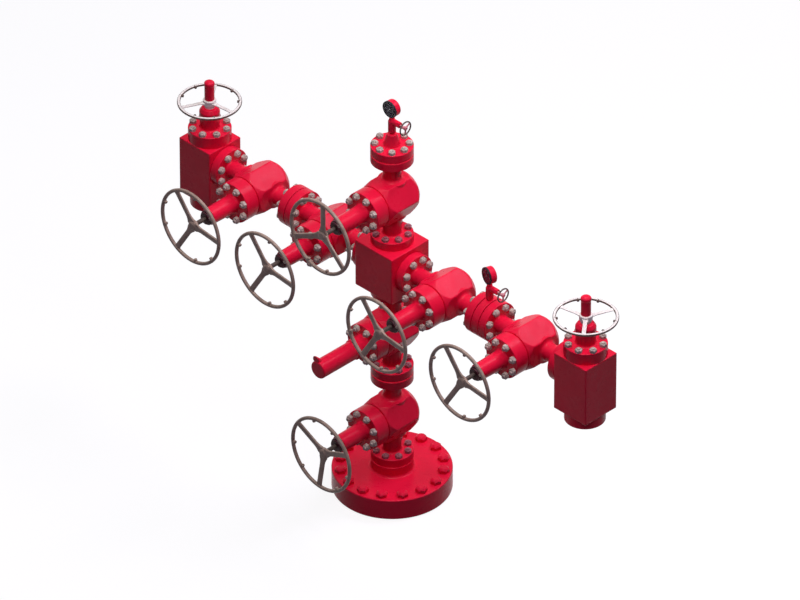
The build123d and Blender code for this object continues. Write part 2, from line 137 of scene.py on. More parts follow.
def polygon(sides, inradius, corner, turn=0.0, arc_steps=5):
    """The angles and radii of a regular polygon with rounded corners, as a lathe's columns.

    Measured from the middle of a flat, the flat has the radius inradius / cos(angle). Round a
    corner, the arc's centre lies at d = (inradius - corner) / cos(pi / sides), and the radius
    is d cos(b) + sqrt(corner^2 - (d sin(b))^2), with b the angle to the corner.
    """
    half = np.pi / sides
    centre = (inradius - corner) / np.cos(half)
    flat_end = np.arctan((inradius - corner) * np.tan(half) / inradius)
    flat = flat_end * np.array([-1, -0.94, -0.5, 0, 0.5, 0.94])
    arc = np.linspace(flat_end, 2 * half - flat_end, arc_steps + 1)[:-1]
    one_side = np.concatenate([flat, arc])
    off = np.abs((one_side + half) % (2 * half) - half)
    beside = centre * np.sin(half - off)
    on_arc = centre * np.cos(half - off) + np.sqrt(np.maximum(corner**2 - beside**2, 0))
    radius = np.where(off <= flat_end + 1e-9, inradius / np.cos(off), on_arc)
    angles = (one_side + turn)[None, :] + 2 * half * np.arange(sides)[:, None]
    return angles.ravel(), np.tile(radius, sides)


print("a hexagon has", len(polygon(6, 0.116, 0.012)[0]), "columns")


# %% [markdown]
# A shape here is two arrays, points and faces. It is made standing on the origin and then laid
# along its real direction, so one function serves all seven valves. When a piece is finished
# its points are written into the mesh and its object stays at the origin.

# %% Lay, join and write shapes
# The rows are where a shape's own x, y and z point to
UP = np.eye(3)
DOWN = np.array([[1, 0, 0], [0, -1, 0], [0, 0, -1]])
OUT = np.array([[1, 0, 0], [0, 0, 1], [0, -1, 0]])
RIGHT = np.array([[0, 1, 0], [0, 0, 1], [1, 0, 0]])
LEFT = np.array([[0, -1, 0], [0, 0, 1], [-1, 0, 0]])


def turn_about_z(angle):
    """x becomes (cos a, sin a) and y becomes (-sin a, cos a), and z stays."""
    c, s = np.cos(angle), np.sin(angle)
    return np.array([[c, s, 0], [-s, c, 0], [0, 0, 1]])


def turned_about_z(shape, angle):
    return shape[0] @ turn_about_z(angle), shape[1]


def laid(shape, direction=UP, place=(0, 0, 0)):
    """The shape with its own x, y and z along the direction's rows, and then moved."""
    return shape[0] @ direction + np.array(place), shape[1]


def joined(shapes):
    """All the points in a row, each shape's faces counting on from the points before it."""
    starts = np.cumsum([0] + [len(shape[0]) for shape in shapes[:-1]])
    points = np.concatenate([shape[0] for shape in shapes])
    return points, np.concatenate([shape[1] + start for shape, start in zip(shapes, starts)])


def ring_of(shape, count, circle, first, direction=UP, place=(0, 0, 0)):
    """Copies of a shape round a circle, the first at this angle in degrees."""
    shifted = (shape[0] + np.array([circle / 2, 0, 0]), shape[1])
    angles = np.radians(first + 360 / count * np.arange(count))
    return laid(joined([turned_about_z(shifted, a) for a in angles]), direction, place)


def new_object(name, data):
    made = bpy.data.objects.new(name, data)
    bpy.context.scene.collection.objects.link(made)
    return made


def write_piece(name, shapes, stands_for=(), finish=None, slot="red_paint", body="root", crease=38, **where):
    """One mesh of the shapes, laid where it says, its columns welded where they meet at a pole."""
    points, faces = laid(joined(shapes), **where)
    mesh = bpy.data.meshes.new(name)
    mesh.from_pydata(points, [], faces)
    work = bmesh.new()
    work.from_mesh(mesh)
    bmesh.ops.remove_doubles(work, verts=work.verts, dist=2e-6)
    work.to_mesh(mesh)
    work.free()
    mesh.shade_smooth()
    mesh.set_sharp_from_angle(angle=np.radians(crease))
    mesh.materials.append(finish or red_enamel)
    piece = new_object(name, mesh)
    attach(piece, body)
    if stands_for:
        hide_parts(*stands_for)
    return piece


# %% [markdown]
# The paint is a glossy red enamel over forged steel. One flat colour looks like plastic, so a
# slow noise drifts between a deeper and a brighter red, a finer one varies the gloss, and a
# very small bump is the orange peel that a spray gun leaves. A full gloss would turn the dark
# sides grey in the white room, so the specular level is low. Noise reads Object coordinates:
# every piece's object sits at the origin, so the pattern has its real size on all of them.

# %% Node helpers
def feed(tree, node, **inputs):
    """Sets a node's inputs, each to a value or to another node's output."""
    for key, value in inputs.items():
        socket = node.inputs[key.replace("_", " ")]
        if isinstance(value, bpy.types.NodeSocket):
            tree.links.new(value, socket)
        else:
            socket.default_value = value
    return node


def add_node(tree, kind, settings=None, **inputs):
    made = tree.nodes.new(kind)
    for key, value in (settings or {}).items():
        setattr(made, key, value)
    return feed(tree, made, **inputs)


def noise(tree, scale, detail=3.0, rough=0.55):
    """Noise on Object coordinates, scale being features to a metre."""
    place = add_node(tree, "ShaderNodeTexCoord").outputs["Object"]
    made = add_node(tree, "ShaderNodeTexNoise", Vector=place, Scale=scale, Detail=detail, Roughness=rough)
    return made.outputs["Fac"]


def ramp(tree, value, *stops):
    """Colours along a value, each stop a position and a colour."""
    made = add_node(tree, "ShaderNodeValToRGB", Fac=value)
    for element, (position, colour) in zip(made.color_ramp.elements, stops):
        element.position = position
        element.color = (*colour, 1)
    return made.outputs["Color"]


def spread(tree, value, low, high, start=0.3, end=0.7):
    """The value carried from its usual range onto low to high."""
    ends = {"From_Min": start, "From_Max": end, "To_Min": low, "To_Max": high}
    return add_node(tree, "ShaderNodeMapRange", Value=value, **ends).outputs["Result"]


def bumped(tree, height, depth):
    """A bump whose full height is this many metres."""
    made = add_node(tree, "ShaderNodeBump", Height=height, Distance=depth, Strength=1.0)
    return made.outputs["Normal"]


def new_finish(name):
    finish = bpy.data.materials.new(name)
    finish.use_nodes = True
    return finish, finish.node_tree, finish.node_tree.nodes["Principled BSDF"]


# %% Red enamel
# Features to a metre, and the orange peel's depth in metres
COLOUR_DRIFT, GLOSS_DRIFT, ORANGE_PEEL, PEEL_DEPTH = 3.1, 23.0, 210.0, 0.00007


def enamel(name, deep, bright):
    finish, tree, shader = new_finish(name)
    feed(
        tree, shader,
        Base_Color=ramp(tree, noise(tree, COLOUR_DRIFT, 4.0), (0.32, deep), (0.68, bright)),
        Roughness=spread(tree, noise(tree, GLOSS_DRIFT), 0.25, 0.35),
        Normal=bumped(tree, noise(tree, ORANGE_PEEL, 2.0), PEEL_DEPTH),
        Specular_IOR_Level=0.09,
    )
    return finish


red_enamel = enamel("red_enamel", (0.68, 0.006, 0.036), (0.83, 0.009, 0.047))
print("finish:", red_enamel.name)


# %% [markdown]
# The other metals differ in how they were worked. The wheels are cast and hand-worn, with
# darker and lighter patches a few centimetres long: the gate valves' are a warm grey. A choke's
# wheel is a lit and a shaded copy of one metal: its rim is dark, painted shade for its sides,
# and its spokes, hub and a band along the rim's top are bright, the band a painted highlight.
# Nuts and studs are plated steel gone dull, and those of the standing valves took some of the
# red spray. The bearing caps are a near-black maroon, painted shade over their red paint, under
# a film of oil, and the stems are nearly black.

# %% Metals
def metal(name, dark, light, roughness, scale, grain, grain_depth, metallic):
    """Patches and a fine grain, both in features to a metre, under a low gloss."""
    finish, tree, shader = new_finish(name)
    feed(
        tree, shader,
        Base_Color=ramp(tree, noise(tree, scale, 4.0, 0.6), (0.3, dark), (0.7, light)),
        Roughness=spread(tree, noise(tree, 2.3 * scale), *roughness),
        Normal=bumped(tree, noise(tree, grain), grain_depth),
        Metallic=metallic,
        Specular_IOR_Level=0.15,
    )
    return finish


CAST = ((0.30, 0.44), 24, 420, 0.00012, 0.05)
OILED = ((0.35, 0.5), 30, 500, 0.0001, 0.0)
PLATED = ((0.26, 0.4), 60, 700, 0.00008, 0.0)
SPRAYED = ((0.3, 0.45), 90, 700, 0.00008, 0.1)
GROUND = ((0.45, 0.6), 30, 900, 0.00004, 0.1)
wheel_metal = metal("wheel_metal", (0.23, 0.16, 0.125), (0.40, 0.295, 0.235), *CAST)
# The choke wheels' lit copy: bright spokes and hub, and a band of painted highlight on the rim's top
choke_wheel_painted_light = metal("choke_wheel_painted_light", (0.68, 0.62, 0.57), (0.84, 0.79, 0.74), *CAST)
# Dark rims; on a choke wheel this darkness is painted shade on the rim's sides
dark_rim_and_painted_shade = metal("dark_rim_and_painted_shade", (0.07, 0.045, 0.038), (0.16, 0.11, 0.09), *CAST)
nut_steel = metal("nut_steel", (0.27, 0.205, 0.175), (0.62, 0.52, 0.455), *PLATED)
painted_steel = metal("painted_steel", (0.25, 0.04, 0.065), (0.42, 0.18, 0.2), *SPRAYED)
stem_steel = metal("stem_steel", (0.045, 0.032, 0.027), (0.10, 0.075, 0.062), *GROUND)
# The bearing caps' near-black maroon is painted shade over their red paint
cap_painted_shade = metal("cap_painted_shade", (0.020, 0.003, 0.006), (0.060, 0.008, 0.016), *OILED)
black_paint = metal("black_paint", (0.004, 0.003, 0.006), (0.012, 0.009, 0.016), *OILED)
pink_paint = enamel("pink_paint", (0.55, 0.17, 0.20), (0.70, 0.30, 0.33))
print("finishes:", len(bpy.data.materials))


# %% [markdown]
# Every place is read from the frame. A valve's own place is the middle of its body. Its half
# length, its collar's reach and the flanges' radius come from nodes' boxes, so these follow
# the solids. The other sizes are named numbers beside their shapes.

# %% Places and sizes from the frame
def corners_of(node):
    low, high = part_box(node)
    return np.array(low), np.array(high)


def middle_of(node):
    low, high = corners_of(node)
    return (low + high) / 2


STANDING = ("lower_master", "upper_master", "swab")
LYING = ("left_inner", "left_outer", "right_inner", "right_outer")
VALVES = STANDING + LYING
WHEEL_VALVES = tuple(v for v in VALVES if v != "upper_master")
# A lying valve's run is turned from +Z to +X
RUN_ALONG = np.array([[0, 0, -1], [0, 1, 0], [1, 0, 0]])


def valve_place(valve):
    middle = middle_of(valve + "_valve_body")
    return np.array([middle[0], 0.0, middle[2]])


def on_run(shape, valve):
    """The shape moved to the valve and turned with its run."""
    return laid(shape, RUN_ALONG if valve in LYING else UP, valve_place(valve))


body_low, body_high = corners_of("lower_master_valve_body")
VALVE_HALF = (body_high[2] - body_low[2]) / 2
COLLAR_FRONT = -body_low[1]
BODY_BACK = body_high[1]
BONNET_FRONT = -corners_of("swab_bonnet")[0][1]
CAP_FRONT = -corners_of("swab_bearing_cap")[0][1]
flange_low, flange_high = corners_of("instrument_flange")
FLANGE_R = (flange_high[1] - flange_low[1]) / 2
print("valve half", VALVE_HALF, "collar", COLLAR_FRONT, "flange", FLANGE_R)


# %% [markdown]
# A gate valve's body is a hexagonal forging that lies along the stem. Each end is turned down
# to a cone, as the end of a hexagonal nut is, so its corners run out in curves. The line that
# is carried round may differ from column to column: the corner where the cone meets the flats
# lies further along in the columns of the hexagon's corners, which draws those curves exactly,
# with no cutting. A collar with a seam groove stands in front, and a flared neck with a flange
# at each end of the run.

# %% Valve bodies
BODY_FLAT = 0.116
BODY_CORNER_ROUND = 0.012
BODY_REACH = 0.130
FRONT_BEVEL, BACK_BEVEL, BACK_DOME = 0.040, 0.026, 0.022
CONE_ROUND, DOME_ROUND = 0.022, 0.024
SEAM_DEPTH, SEAM_WIDTH = 0.009, 0.010
FLANGE_THICK = 0.0512
FLANGE_BACK = VALVE_HALF - FLANGE_THICK
FACE_R, FACE_HEIGHT = 0.066, 0.0024
NECK_R, NECK_ROOT_R, NECK_FLARE_ROUND, NECK_FILLET = 0.050, 0.079, 0.027, 0.010


def forged_body():
    """The hexagon of height -y, its cone ends meeting the flats at each column's own height."""
    angles, radius = polygon(6, BODY_FLAT, BODY_CORNER_ROUND, turn=np.pi / 6)
    corner = BODY_FLAT / np.cos(np.pi / 6)
    share = (radius - BODY_FLAT) / (corner - BODY_FLAT)
    line = [
        (BODY_FLAT - BACK_DOME, -BODY_BACK, DOME_ROUND),
        (radius, BACK_DOME - BODY_BACK + BACK_BEVEL * share, CONE_ROUND),
        (radius, BODY_REACH - 0.0015 - FRONT_BEVEL * share, CONE_ROUND),
        (BODY_FLAT - 0.001, BODY_REACH, 0.002),
    ]
    return lathe(line, angles)


def collar():
    seam = BODY_FLAT - SEAM_DEPTH
    line = [
        (seam, BODY_REACH - SEAM_WIDTH),
        (seam, BODY_REACH + SEAM_WIDTH / 2, 0.001),
        (BODY_FLAT, BODY_REACH + SEAM_WIDTH, 0.002),
        (BODY_FLAT, COLLAR_FRONT, 0.0005),
    ]
    return lathe(line)


def faced(end, way):
    """The raised face and edge of a flange that looks along z, way 1, or against it, way -1."""
    rim = end - way * FACE_HEIGHT
    return [(FACE_R, end, 0.001), (FACE_R, rim, 0.001), (FLANGE_R, rim, 0.003)]


def run_end():
    """Neck, flange and raised face from the body's flat to the end of the run."""
    line = [
        (NECK_ROOT_R, 0.02),
        (NECK_ROOT_R, BODY_FLAT - 0.002),
        (NECK_R, BODY_FLAT + 0.004, NECK_FLARE_ROUND),
        (NECK_R, FLANGE_BACK, NECK_FILLET),
        (FLANGE_R, FLANGE_BACK, 0.004),
        *faced(VALVE_HALF, 1)[::-1],
    ]
    return lathe(line)


stem_shapes = [laid(forged_body(), OUT), laid(collar(), OUT)]
body_shape = joined(stem_shapes + [laid(run_end(), UP), laid(run_end(), DOWN)])
for valve in VALVES:
    write_piece(valve + "_forging", [on_run(body_shape, valve)], [valve + "_valve_body"])
print("a valve body has", len(body_shape[1]), "faces")


# %% [markdown]
# The bonnet closes the body's front: a flange that is bolted to the collar and a long tube in
# which the gate's stem rises. The upper master valve has no wheel. Its bonnet flares to a
# closed housing with a small lifting lug on its end.

# %% Bonnets
BONNET_FLANGE, BONNET_R = 0.037, BODY_FLAT + 0.0003
TUBE_ROOT_R, TUBE_TIP_R, TUBE_FILLET = 0.0515, 0.0475, 0.011
BONNET_FACE = COLLAR_FRONT + BONNET_FLANGE
TUBE_END = BONNET_FRONT + 0.033
HOUSING_ROOT_R, HOUSING_FLARE, HOUSING_BACK = 0.058, 0.006, 0.031
housing_low, housing_high = corners_of("upper_master_stem_housing")
HOUSING_R = (housing_high[0] - housing_low[0]) / 2
HOUSING_END = -housing_low[1]
HOUSING_START = -corners_of("upper_master_bonnet")[0][1] - HOUSING_BACK
LUG_R, LUG_LENGTH, LUG_PLACE, LUG_FALL = 0.022, 0.045, (-0.016, 0.0615), 0.032


def bonnet(*tube):
    """The bolted flange and in front of it the tube, laid along the stem."""
    flange = [(BONNET_R, COLLAR_FRONT, 0.0005), (BONNET_R, BONNET_FACE, 0.004)]
    return laid(lathe([*flange, *tube]), OUT)


def stem_housing():
    """The barrel, and a round lug on its end that falls back to it like a web."""
    barrel = lathe([(HOUSING_R, HOUSING_START), (HOUSING_R, HOUSING_END, 0.008)])
    front, back = HOUSING_END - 0.0015, HOUSING_END - LUG_LENGTH
    line = [(0.6 * LUG_R, back), (LUG_R, front - 0.008, 0.004), (LUG_R, front, 0.005)]
    points, faces = lathe(line, SMALL_ROUND)
    # Each point moves towards the barrel's axis by its share of the way back
    share = (front - points[:, 2:]) / LUG_LENGTH
    middle = np.array([*LUG_PLACE, 0])
    points = points + middle * (1 - share * LUG_FALL / length_of(middle))
    return [laid(barrel, OUT), laid((points, faces), OUT)]


bonnet_shape = bonnet((TUBE_ROOT_R, BONNET_FACE, TUBE_FILLET), (TUBE_TIP_R, TUBE_END, 0.003))
for valve in WHEEL_VALVES:
    write_piece(valve + "_bonnet_turned", [bonnet_shape], [valve + "_bonnet"], place=valve_place(valve))
flared = bonnet(
    (HOUSING_ROOT_R, BONNET_FACE, TUBE_FILLET),
    (HOUSING_ROOT_R, HOUSING_START - HOUSING_FLARE, 0.004),
    (HOUSING_R, HOUSING_START, 0.002),
)
here = valve_place("upper_master")
write_piece("upper_master_bonnet_turned", [flared], ["upper_master_bonnet"], place=here)
write_piece("upper_master_housing_turned", stem_housing(), ["upper_master_stem_housing"], place=here)
print("bonnets:", len(VALVES))


# %% [markdown]
# Bolts hold every joint. A nut is a hexagon whose top is turned to a cone, and the end of its
# stud stands out of it. There are nearly two hundred, so each has under a hundred faces: two
# columns to a side and no rounding. A ring of them is one piece.

# %% Nuts and studs
STUD_R, NUT_FLATS, NUT_HEIGHT, STUD_OUT = 0.0111, 0.0365, 0.020, 0.005
# Shares of the flats: the cone's drop at the corners and its radius at the top
NUT_CONE_DROP, NUT_TOP_R = 0.16, 0.42
STUD_CIRCLE = 0.18415
NUT_ROUND = full_turn(12)


def hexagon_radii(flats):
    """The radius of a hexagon's corners and the middles of its flats, by turns."""
    return np.where(np.arange(12) % 2 == 0, flats / 2 / np.cos(np.pi / 6), flats / 2)


def stud_nut(flats=NUT_FLATS, height=NUT_HEIGHT, stud=STUD_R, out=STUD_OUT):
    """A nut from height 0 with its stud's end, the cone cutting the corners first."""
    side, top = hexagon_radii(flats), NUT_TOP_R * flats
    drop = NUT_CONE_DROP * flats * (side - top) / (side[0] - top)
    line = [
        (side, 0),
        (side, height - drop),
        (top, height),
        (stud, height),
        (stud, height + out - 0.15 * stud),
        (0.8 * stud, height + out),
    ]
    return lathe(line, NUT_ROUND, sharp=True)


def write_nuts(name, ring, finish=nut_steel, slot="bright_steel", place=(0, 0, 0)):
    write_piece(name, [ring], (), finish, slot, crease=28, place=place)


# Each end of a valve: its nuts stand on the back of the flange, between the axes. Some upper
# flanges are bolted from above, into tapped holes, and show no nuts below.
STRADDLE = 22.5
PLAIN_ABOVE = STANDING + ("right_outer",)
run_nut = stud_nut()
for valve in VALVES:
    finish = painted_steel if valve in STANDING else nut_steel
    for end, direction, sign in (("high", DOWN, 1), ("low", UP, -1)):
        if end == "high" and valve in PLAIN_ABOVE:
            continue
        ring = ring_of(run_nut, 8, STUD_CIRCLE, STRADDLE, direction, (0, 0, sign * FLANGE_BACK))
        write_nuts(f"{valve}_{end}_end_nuts", on_run(ring, valve), finish)

# The bonnet's nuts stand on its face
BONNET_CIRCLE = 0.193
ring = ring_of(stud_nut(out=0.009), 8, BONNET_CIRCLE, STRADDLE, OUT, (0, -BONNET_FACE, 0))
for valve in VALVES:
    write_nuts(valve + "_bonnet_nuts", ring, place=valve_place(valve))


# %% [markdown]
# The wheel turns its stem in a dark bearing cap screwed on the bonnet's tube. It is one
# casting: a round rim, three flat spokes that fall back to the hub and widen there, and finger
# nubs inside the rim. The rim is a torus. A spoke is a rounded rectangle carried along a
# straight path and widened as it nears the hub, which it joins without a step.

# %% Bars and rims
# The power that squares a section: 1 is round and less is squarer
NEARLY_ROUND, SQUARED, SPOKE_SQUARED = 0.85, 0.55, 0.5


def squared(wave, power):
    """The wave's size taken to the power, with its sign kept."""
    return np.sign(wave) * np.abs(wave) ** power


def torus(ring_radius, half_width, half_height, square, around=120, section=24):
    """x = (R + w c) cos u, y = (R + w c) sin u, z = -h s, closed both ways.

    c and s are the cosine and sine of v, each squared off by the power.
    """
    u, v = full_turn(around)[:, None], full_turn(section)[None, :]
    reach = ring_radius + half_width * squared(np.cos(v), square)
    height = -half_height * squared(np.sin(v), square) + 0 * u
    points = np.stack([reach * np.cos(u), reach * np.sin(u), height], -1)
    row, column = np.meshgrid(np.arange(around), np.arange(section), indexing="ij")
    up, side = (row + 1) % around, (column + 1) % section
    corners = [row * section + column, row * section + side, up * section + side, up * section + column]
    return points.reshape(-1, 3), np.stack(corners, -1).reshape(-1, 4)


def bar(path, widths, thicknesses, across, sides=24, square=SPOKE_SQUARED):
    """A bar along a path, with closed ends.

    At each point the section is the curve x = w cos, y = t sin, each squared off by the power,
    w and t being half the width and thickness there.
    """
    path = np.array(path, float)
    along = np.gradient(path, axis=0)
    along /= length_of(along)
    across = np.broadcast_to(np.array(across, float), path.shape)
    normal = np.cross(along, across)
    turn = full_turn(sides)
    half_width = np.array(widths, float).reshape(-1, 1) / 2 * squared(np.cos(turn), square)
    half_height = np.array(thicknesses, float).reshape(-1, 1) / 2 * squared(np.sin(turn), square)
    sideways = half_width[..., None] * across[:, None]
    rows = path[:, None] + sideways + half_height[..., None] * normal[:, None]
    ends = [np.repeat(path[i][None, None], sides, 1) for i in (0, -1)]
    rows = np.concatenate([ends[0], rows, ends[1]])
    return rows.reshape(-1, 3), quads(len(rows), sides)


def wheel_of(outer, rim, dish, hub_r, spoke, flare, flare_length, thickness, nub=None, rim_height=None):
    """A rim in the plane z = 0, three spokes that fall by the dish, the first along x, and nubs."""
    centre_line = (outer - rim) / 2
    square = SQUARED if rim_height else NEARLY_ROUND
    shapes = [torus(centre_line, rim / 2, (rim_height or rim) / 2, square)]
    start = 0.3 * hub_r
    reach = np.linspace(start, centre_line - 0.1 * rim, 22)
    fall = dish * (1 - (reach - start) / (centre_line - start))
    path = np.stack([reach, 0 * reach, -fall], -1)
    # The width eases from the flare to the plain spoke, and opens a little again at the rim
    ease = np.clip((reach - hub_r) / flare_length, 0, 1)
    at_rim = np.clip((reach - centre_line + 1.3 * rim) / (1.3 * rim), 0, 1)
    width = spoke + (flare - spoke) * (1 - ease) ** 2 + 0.25 * spoke * at_rim**2
    one = bar(path, width, thickness + 0.25 * thickness * (1 - ease) ** 2, (0, 1, 0))
    shapes += [turned_about_z(one, 2 * np.pi / 3 * k) for k in range(3)]
    if nub:
        nub_r, nub_out = nub
        peg = lathe([(nub_r, -nub_out - rim / 2), (nub_r, 0, 0.004)], SMALL_ROUND)
        peg = laid(peg, LEFT, (centre_line - rim / 2 - nub_out, 0, 0))
        shapes += [turned_about_z(peg, a) for a in np.radians([40, 80, 160, 200, 280, 320])]
    return shapes


print("a rim has", len(torus(0.2, 0.01, 0.01, NEARLY_ROUND)[1]), "faces")

# %% Gate valve wheels and bearing caps
WHEEL_RIM, WHEEL_DISH = 0.020, 0.020
HUB_R, HUB_LENGTH = 0.029, 0.030
STEM_R, STEM_SEAT, STEM_GAP = 0.0125, 0.042, 0.0003
CAP_R, CAP_NOSE_R, CAP_NOSE = 0.042, 0.035, 0.010
SPOKE_ANGLES = {"lower_master": 25.5, "swab": 84.5}
rim_plane = -corners_of("left_inner_handwheel")[0][1] - WHEEL_RIM / 2


def bearing_cap():
    nose = CAP_FRONT - CAP_NOSE
    line = [
        (CAP_R, TUBE_END, 0.003),
        (CAP_R, nose, 0.005),
        (CAP_NOSE_R, nose, 0.001),
        (CAP_NOSE_R, CAP_FRONT, 0.003),
        (STEM_R + STEM_GAP, CAP_FRONT, 0.001),
        (STEM_R + STEM_GAP, CAP_FRONT - STEM_SEAT),
    ]
    return laid(lathe(line), OUT)


def handwheel(first_spoke):
    spokes = {"spoke": 0.031, "flare": 0.052, "flare_length": 0.040, "thickness": 0.013}
    wheel = wheel_of(0.450, WHEEL_RIM, WHEEL_DISH, HUB_R, **spokes, nub=(0.0095, 0.011))
    back, front = -WHEEL_DISH - HUB_LENGTH / 2, -WHEEL_DISH + HUB_LENGTH / 2
    hub_line = [(HUB_R, back, 0.004), (HUB_R, front - 0.006, 0.005), (0.62 * HUB_R, front, 0.003)]
    whole = turned_about_z(joined(wheel + [lathe(hub_line)]), np.radians(first_spoke))
    return laid(whole, OUT, (0, -rim_plane, 0))


cap = bearing_cap()
stem_line = [(STEM_R, CAP_FRONT - STEM_SEAT + 0.0005), (STEM_R, rim_plane - WHEEL_DISH)]
stem = laid(lathe(stem_line, SMALL_ROUND), OUT)
for valve in WHEEL_VALVES:
    here = valve_place(valve)
    turning = {"body": valve + "_wheel", "place": here}
    wheel = handwheel(SPOKE_ANGLES.get(valve, 0.0))
    # The cap's colour is painted shade over red paint
    write_piece(valve + "_cap_turned", [cap], [valve + "_bearing_cap"], cap_painted_shade, "black_oxide", place=here)
    write_piece(valve + "_wheel_cast", [wheel], [valve + "_handwheel"], wheel_metal, "wheel_metal", **turning)
    write_piece(valve + "_stem_ground", [stem], (), stem_steel, "bright_steel", **turning)
print("a wheel has", len(wheel[1]), "faces")


# %% [markdown]
# The base flange carries everything. It is one turned line too: pocket, ring groove, raised
# face, rim and hub. A lathe can't make its sixteen stud holes, and cutting them with a boolean
# leaves long thin faces that shade badly. So the lathe leaves a trench where the holes are, and
# a flat ring closes it, whose faces run from each hole's wall out to the edge of the hole's own
# sector, where they meet the next one's.

# %% Flat rings with holes
RING_SINK, RING_LAP = 0.0001, 0.0005


def holed_ring(inner, outer, count, circle, first, hole_r, depth, face):
    """A flat ring with holes that looks down, sunk a little into the face at this height.

    One hole's sector is made about the hole's own centre and copied round. With c the holes'
    circle's radius, h half a sector's angle and f a ray's angle, the ray leaves the sector at
    its side after c sin(h) / sin(|f| - h), and at a circle of radius R after
    -c cos(f) +- sqrt(R^2 - (c sin(f))^2), + at the outer one and - at the inner one.
    """
    c, h = circle / 2, np.pi / count
    inner, outer = inner - RING_LAP, outer + RING_LAP
    far = np.arctan2(outer * np.sin(h), outer * np.cos(h) - c)
    near = np.arctan2(inner * np.sin(h), inner * np.cos(h) - c)
    half = [np.linspace(0, far, 5)[:-1], np.linspace(far, near, 9)[:-1], np.linspace(near, np.pi, 5)]
    half = np.concatenate(half)
    f = np.concatenate([half, -half[-2:0:-1]])
    side = c * np.sin(h) / np.maximum(np.sin(np.abs(f) - h), 1e-4)
    beside = (c * np.sin(f)) ** 2
    out = -c * np.cos(f) + np.sqrt(outer**2 - beside)
    back = -c * np.cos(f) - np.sqrt(np.maximum(inner**2 - beside, 0))
    back = np.where((np.cos(f) < 0) & (inner**2 > beside), back, out + side)
    reach = np.minimum(np.minimum(side, out), back)
    reaches = np.stack([reach, (reach + hole_r) / 2, hole_r + 0 * f, hole_r + 0 * f])
    heights = np.broadcast_to(np.array([[0.0], [0.0], [0.0], [-depth]]), reaches.shape)
    points = np.stack([reaches * np.cos(f), reaches * np.sin(f), heights], -1)
    sector = points.reshape(-1, 3), quads(4, len(f))
    return ring_of(sector, count, circle, first, DOWN, (0, 0, face + RING_SINK))


def recess(mouth, floor, face, top, edge, floor_edge=EDGE_ROUND):
    """The four corners, from the inside out, of a groove in a face that looks down."""
    inner = [(mouth[0], face, edge), (floor[0], top, floor_edge)]
    return inner + [(floor[1], top, floor_edge), (mouth[1], face, edge)]


# %% Base flange and its bolts
_, base_high = corners_of("base_flange")
BASE_R, HUB_TOP = base_high[0], base_high[2]
BASE_TOP, BASE_FACE_R, BASE_FACE = 0.127, 0.2365, 0.005
POCKET_R, POCKET, RUN_BORE_R, BORE_TOP = 0.0715, 0.100, 0.03255, 0.150
GROOVE_MOUTH, GROOVE_FLOOR, GROOVE = (0.1536, 0.1786), (0.1595, 0.1727), 0.014
BASE_TRENCH, TRENCH_FLOOR = (0.2475, 0.3175), BASE_FACE + 0.020
BASE_CIRCLE, BASE_NUT_FLATS, BASE_NUT_HEIGHT = 0.56515, 0.057, 0.026
BASE_STUD_R, BASE_HOLE_R, BASE_HOLE = 0.0222, 0.0239, 0.019
BASE_STUDS, BASE_STRADDLE = 16, 11.25
base_line = [
    (RUN_BORE_R, BORE_TOP),
    (RUN_BORE_R, POCKET, 0.001),
    (POCKET_R, POCKET, 0.001),
    (POCKET_R, 0, 0.003),
    *recess(GROOVE_MOUTH, GROOVE_FLOOR, 0, GROOVE, 0.001, 0.001),
    (BASE_FACE_R, 0, 0.002),
    (BASE_FACE_R, BASE_FACE, 0.001),
    *recess(BASE_TRENCH, BASE_TRENCH, BASE_FACE, TRENCH_FLOOR, 0.0003),
    (BASE_R, BASE_FACE, 0.006),
    (BASE_R, BASE_TOP, 0.006),
    (FLANGE_R, BASE_TOP, 0.014),
    (FLANGE_R, HUB_TOP, 0.004),
]
around_base = (BASE_STUDS, BASE_CIRCLE, BASE_STRADDLE)
plate = holed_ring(*BASE_TRENCH, *around_base, BASE_HOLE_R, BASE_HOLE, BASE_FACE)
write_piece("base_turned", [lathe(base_line, WIDE_ROUND), plate], ["base_flange"])
base_nut = stud_nut(BASE_NUT_FLATS, BASE_NUT_HEIGHT, BASE_STUD_R, 0.003)
ring = ring_of(base_nut, *around_base, UP, (0, 0, BASE_TOP))
write_nuts("base_nuts", ring, red_enamel, "red_paint")
stud = lathe([(BASE_STUD_R, 0.004), (BASE_STUD_R, BASE_TOP)], NUT_ROUND, sharp=True)
write_nuts("base_studs", ring_of(stud, *around_base))
print("base reaches", base_high)


# %% [markdown]
# The cross is a square forging with its edges broken, and so are the bodies of the two corner
# chokes. A choke's flow turns down into a round outlet that is open below. Its mouth has a
# ring groove and eight tapped holes, made the same way as the base's.

# %% Cross
BLOCK_CORNER, BLOCK_EDGE = 0.004, 0.005


def block(size, bottom, top, bore=0.0):
    """A rounded square section carried up, stretched to the depth, with rounded edges."""
    width, depth = size[:2]
    angles, radius = polygon(4, width / 2, BLOCK_CORNER, arc_steps=4)
    line = [(bore, bottom), (radius, bottom, BLOCK_EDGE), (radius, top, BLOCK_EDGE), (0, top)]
    points, faces = lathe(line, angles, capped=False)
    return points * np.array([1, depth / width, 1]), faces


cross_low, cross_high = corners_of("cross_block")
shape = block(cross_high - cross_low, cross_low[2], cross_high[2])
write_piece("cross_forging", [shape], ["cross_block"])

# %% Chokes
CHOKE_FLANGE, CHOKE_FLANGE_R = 0.071, 0.118
CHOKE_NECK_R, CHOKE_NECK = 0.0535, 0.085
GLAND_ROOT_R, GLAND_TIP_R, GLAND = 0.0565, 0.043, 0.040
OUTLET_R, OUTLET, FLOW = 0.111, 0.062, 0.26
MOUTH_GROOVE, MOUTH_FLOOR, MOUTH_DEPTH = (0.0373, 0.0514), (0.0402, 0.0485), 0.0068
MOUTH_TRENCH, TAPPED_R, TAPPED = (0.0760, 0.1078), 0.0111, 0.040
CHOKE_STEM_R, CHOKE_STEM_SEAT = 0.020, 0.024
CHOKE_CIRCLE = 0.197
CHOKE_HUB_R, CHOKE_HUB = 0.036, 0.034
CHOKE_BOSS_R, CHOKE_BOSS = 0.028, 0.018
